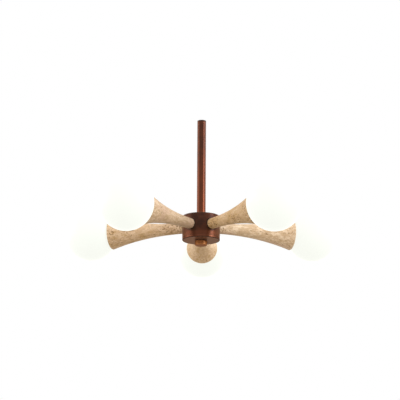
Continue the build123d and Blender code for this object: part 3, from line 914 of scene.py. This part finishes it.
def hubTree():
    tree, given, output = newTree("hubWorks", {
        "Arms": "Int", "Pocket radius": "Float", "Pocket floor": "Float", "Pocket sides": "Int",
        "Hole radius": "Float", "Hole sides": "Int", "Flat radius": "Float", "Flat floor": "Float",
        "Outside": "Float", "Inside": "Float", "Arm height": "Float", "Lugs": "Int", "Lug start": "Float",
        "Lug end": "Float", "Lug width": "Float", "Lug low": "Float", "Lug high": "Float",
        "Screw place": "Float", "Screw radius": "Float", "Screw depth": "Float", "Screw sides": "Int",
        "Screw lead": "Float", "Earth place": "Float", "Earth turn": "Float", "Earth depth": "Float",
        "Roof": "Float", "Material": "Material"})
    # a lug for each end of the crossbar
    start, end, low, high = (given[f"Lug {place}"] for place in ("start", "end", "low", "high"))
    length, height = calc(tree, "SUBTRACT", end, start), calc(tree, "SUBTRACT", high, low)
    size = combine(tree, length, given["Lug width"], height)
    lug = addNode(tree, "GeometryNodeMeshCube", {"Size": size}).outputs["Mesh"]
    lug = moveIn(tree, lug, combine(tree, midway(tree, start, end), 0, midway(tree, low, high)))
    drum = booleanIn(tree, "UNION", given["Geometry"], ringOf(tree, lug, given["Lugs"], 0))
    # a pocket, a hole and a washer flat for each arm
    inside, outside, sides = given["Inside"], given["Outside"], given["Hole sides"]
    pocket = rodIn(tree, given["Pocket radius"], given["Pocket floor"], outside, given["Pocket sides"])
    hole = rodIn(tree, given["Hole radius"], inside, outside, sides)
    flat = rodIn(tree, given["Flat radius"], inside, given["Flat floor"], sides)
    arm = joinIn(tree, pocket, hole, flat)
    arm = moveIn(tree, arm, combine(tree, z=given["Arm height"]), (0, math.pi / 2, 0))
    # and the screw holes
    screw = screwIn(tree, given, given["Lug low"], given["Screw depth"], given["Screw place"])
    earth = screwIn(tree, given, given["Roof"], given["Earth depth"], given["Earth place"])
    earth = moveIn(tree, earth, (0, 0, 0), combine(tree, z=given["Earth turn"]))
    arms, screws = ringOf(tree, arm, given["Arms"], math.pi / 2), ringOf(tree, screw, given["Lugs"], 0)
    cutters = joinIn(tree, arms, screws, earth)
    endTree(tree, booleanIn(tree, "DIFFERENCE", drum, cutters), given["Material"], output)
    return tree


def makeHub(sizes):
    outer, inner, roof = sizes["radius"], sizes["radius"] - sizes["wall"], hubTop - sizes["roof"]
    edge, hole = sizes["edge"], sizes["holeRadius"]
    shell = softened([
        (inner, seamHeight, edge), (outer, seamHeight, sizes["seamRound"]),
        (outer, hubTop, sizes["topRound"]), (hole, hubTop, edge), (hole, roof, edge), (inner, roof, 0)])
    piece = addPiece("hubDrum", turnedMesh("hubDrum", shell, sizes["sides"]), materials["hubBronze"])
    lugLow = hubBottom + sizes["lugLift"]
    grow(piece, hubTree(), {
        "Arms": len(armAngles), "Pocket radius": sizes["pocketRadius"], "Pocket floor": sizes["pocketFloor"],
        "Pocket sides": sizes["pocketSides"], "Hole radius": hole, "Hole sides": sizes["holeSides"],
        "Flat radius": sizes["flatRadius"], "Flat floor": inner + sizes["flatDepth"],
        "Outside": outer + sizes["lead"], "Inside": inner - sizes["lead"], "Arm height": armHeight,
        "Lugs": 2, "Lug start": sizes["lugStart"], "Lug end": inner + sizes["wall"] / 2,
        "Lug width": sizes["lugWidth"], "Lug low": lugLow, "Lug high": lugLow + sizes["lugHeight"],
        "Screw place": sizes["screwPlace"], "Screw radius": sizes["screwRadius"],
        "Screw depth": sizes["screwDepth"], "Screw sides": sizes["screwSides"],
        "Screw lead": sizes["screwLead"],
        "Earth place": sizes["earthPlace"], "Earth turn": math.radians(sizes["earthTurn"]),
        "Earth depth": sizes["earthDepth"], "Roof": roof, "Material": materials["hubBronze"]})
    smoothen(piece.data)
    standFor(piece, "hub_body", "fixture")
    print("hub", len(piece.data.polygons), "faces")


def makeCover(sizes):
    outer, spigot = hub["radius"], sizes["spigotRadius"]
    inner, top = spigot - sizes["spigotWall"], seamHeight + sizes["spigotHeight"]
    plate = softened([
        (hub["holeRadius"], hubBottom, hub["edge"]), (outer, hubBottom, sizes["bottomRound"]),
        (outer, seamHeight, hub["seamRound"]), (spigot, seamHeight, 0), (spigot, top, hub["edge"]),
        (inner, top, hub["edge"]), (inner, seamHeight, 0), (hub["holeRadius"], seamHeight, hub["edge"])])
    piece = addPiece("hubCover", turnedMesh("hubCover", plate, sizes["sides"]), materials["coverBronze"])
    standFor(piece, "hub_base_cover", "cover")


def makeFinial(sizes):
    low, high = finialBox[0].z, finialBox[1].z
    outer, bore, boreEnd = sizes["radius"], sizes["boreRadius"], high - sizes["boreDepth"]
    chamfer, rounding = sizes["bottomChamfer"], sizes["chamferRound"]
    knob = softened([
        (0, low, 0), (outer - chamfer, low, rounding), (outer, low + chamfer, rounding),
        (outer, high, sizes["topRound"]), (bore, high, hub["edge"]), (bore, boreEnd, 0), (0, boreEnd, 0)])
    mesh = turnedMesh("finialKnob", knob, sizes["sides"], closed=False)
    piece = addPiece("finialKnob", mesh, materials["finialBronze"])
    standFor(piece, "finial", "finial")


makeHub(hub)
makeCover(cover)
makeFinial(finial)
print("hub, cover and finial made")

# The CAD nodes that still show take their slot's finish
for part in frame["record"]["subparts"]:
    finish = materials.get(part["material_slot"])
    if finish:
        mesh = frame["nodes"][part["node"]].data
        mesh.materials.clear()
        mesh.materials.append(finish)

# Floor, world and lamps
studio = {
    "floorHeight": -4.2,
    "floorSize": 60.0,
    "floorColour": rgb(0.80, 0.795, 0.78),
    "floorBounce": rgb(0.54, 0.49, 0.40),  # what it throws back on the object
    "floorGrain": 3,
    "floorDepth": 0.97,
    "floorRoughness": 0.9,
    "skyLow": 1.22,  # the light from the world, at the horizon
    "skyHigh": 0.74,  # and overhead
    "skyFront": 0.47,  # how much stronger it is from the front, and weaker from the back
    "lamps": {
        "key": {
            "place": (2.95, -1.2, 0.8), "width": 1.5, "height": 2.0, "power": 62,
            "colour": (0.90, 1.0, 1.06)},
        "fill": {
            "place": (-2.9, 0.3, 0.5), "width": 3.4, "height": 2.0, "power": 40,
            "colour": (0.94, 1.0, 1.03)},
        "rim": {
            "place": (2.7, 1.8, 0.7), "width": 0.8, "height": 1.8, "power": 22,
            "colour": (1.0, 1.0, 1.0)},
    },
}


def seenDirectly(tree):
    rays = addNode(tree, "ShaderNodeLightPath").outputs
    seen = calc(tree, "MAXIMUM", rays["Is Camera Ray"], rays["Is Glossy Ray"])
    return calc(tree, "MAXIMUM", seen, rays["Is Transmission Ray"])


def makeWorld(sizes):
    world = bpy.data.worlds.new("studio")
    bpy.context.scene.world = world
    world.use_nodes = True
    tree = world.node_tree
    background = tree.nodes["Background"]
    background.inputs["Color"].default_value = rgb(1, 1, 1)
    direction = addNode(tree, "ShaderNodeTexCoord").outputs["Generated"]
    axes = split(tree, direction)
    sky = spreadLinear(tree, axes[2], 0, 1, sizes["skyLow"], sizes["skyHigh"])
    sky = calc(tree, "MULTIPLY", sky, calc(tree, "MULTIPLY_ADD", axes[1], -sizes["skyFront"], 1.0))
    seen = seenDirectly(tree)
    strength = calc(tree, "ADD", seen, calc(tree, "MULTIPLY", sky, calc(tree, "SUBTRACT", 1.0, seen)))
    tree.links.new(strength, background.inputs["Strength"])


def makeFloor(sizes):
    half, height = sizes["floorSize"] / 2, sizes["floorHeight"]
    mesh = bpy.data.meshes.new("floor")
    corners = [(-half, -half, height), (half, -half, height), (half, half, height), (-half, half, height)]
    mesh.from_pydata(corners, [], [(0, 1, 2, 3)])
    floor = bpy.data.objects.new("floor", mesh)
    bpy.context.scene.collection.objects.link(floor)
    material, tree, shader = newMaterial("floor")
    grain = noise(tree, patternPlace(tree), sizes["floorGrain"], 2)
    colour = sizes["floorColour"]
    colour = blendColours(tree, grain, scaled(colour, sizes["floorDepth"]), colour)
    colour = blendColours(tree, seenDirectly(tree), sizes["floorBounce"], colour)
    dress(tree, shader, {"Base Color": colour, "Roughness": sizes["floorRoughness"]})
    mesh.materials.append(material)


def makeLamps(sizes):
    aim = Vector((0, 0, armHeight))
    for name, lamp in sizes["lamps"].items():
        data = bpy.data.lights.new(name, "AREA")
        data.shape = "RECTANGLE"
        data.size, data.size_y = lamp["width"], lamp["height"]
        data.energy = lamp["power"]
        data.color = lamp["colour"]
        lampObject = bpy.data.objects.new(name, data)
        bpy.context.scene.collection.objects.link(lampObject)
        lampObject.location = lamp["place"]
        lampObject.rotation_euler = (aim - lampObject.location).to_track_quat("-Z", "Y").to_euler()


makeWorld(studio)
makeFloor(studio)
makeLamps(studio)
bpy.context.scene.view_settings.view_transform = "Standard"
print("studio ready")
